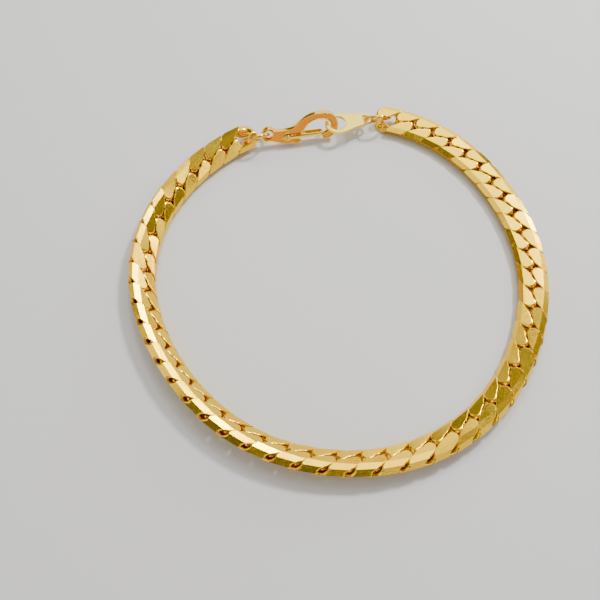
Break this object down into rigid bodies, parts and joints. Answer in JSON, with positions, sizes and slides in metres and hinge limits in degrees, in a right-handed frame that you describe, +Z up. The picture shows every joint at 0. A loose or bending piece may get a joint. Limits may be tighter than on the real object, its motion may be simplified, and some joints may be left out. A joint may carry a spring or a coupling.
{
  "type": "link bracelet",
  "caption": "Flat ground curb chain bracelet in yellow metal, lying closed, its hook clasp with sprung gate holding the end tag and a jump ring at each end of the chain.",
  "frame": {"origin": "middle of the closed bracelet's outline in plan, on the surface that it lies on", "axes": "+Z up from the surface; +Y towards the clasp; +X to the right with the clasp on the far side"},
  "size_m": [0.0616, 0.0611, 0.0051],
  "materials": {
    "chain_gold": "ground flat and polished, with fine scratches",
    "ring_gold": "polished wire",
    "hook_gold": "polished, pressed",
    "gate_gold": "polished sheet",
    "tag_gold": "satin"
  },
  "bodies": {
    "bracelet": {"curb_chain": "chain_gold", "hook_ring": "ring_gold", "tag_ring": "ring_gold", "clasp_hook": "hook_gold", "tag_plate": "tag_gold"},
    "gate": {"clasp_gate": "gate_gold"}
  },
  "joints": [
    {"name": "gate_hinge", "type": "hinge", "parent": "bracelet", "child": "gate", "pos_m": [-0.00767, 0.02554, 0.00164], "axis": [0.1328, -0.9303, 0.342], "range_deg": [0, 16], "stiffness_Nm_per_rad": 0.002, "springref_deg": -20.05}
  ]
}
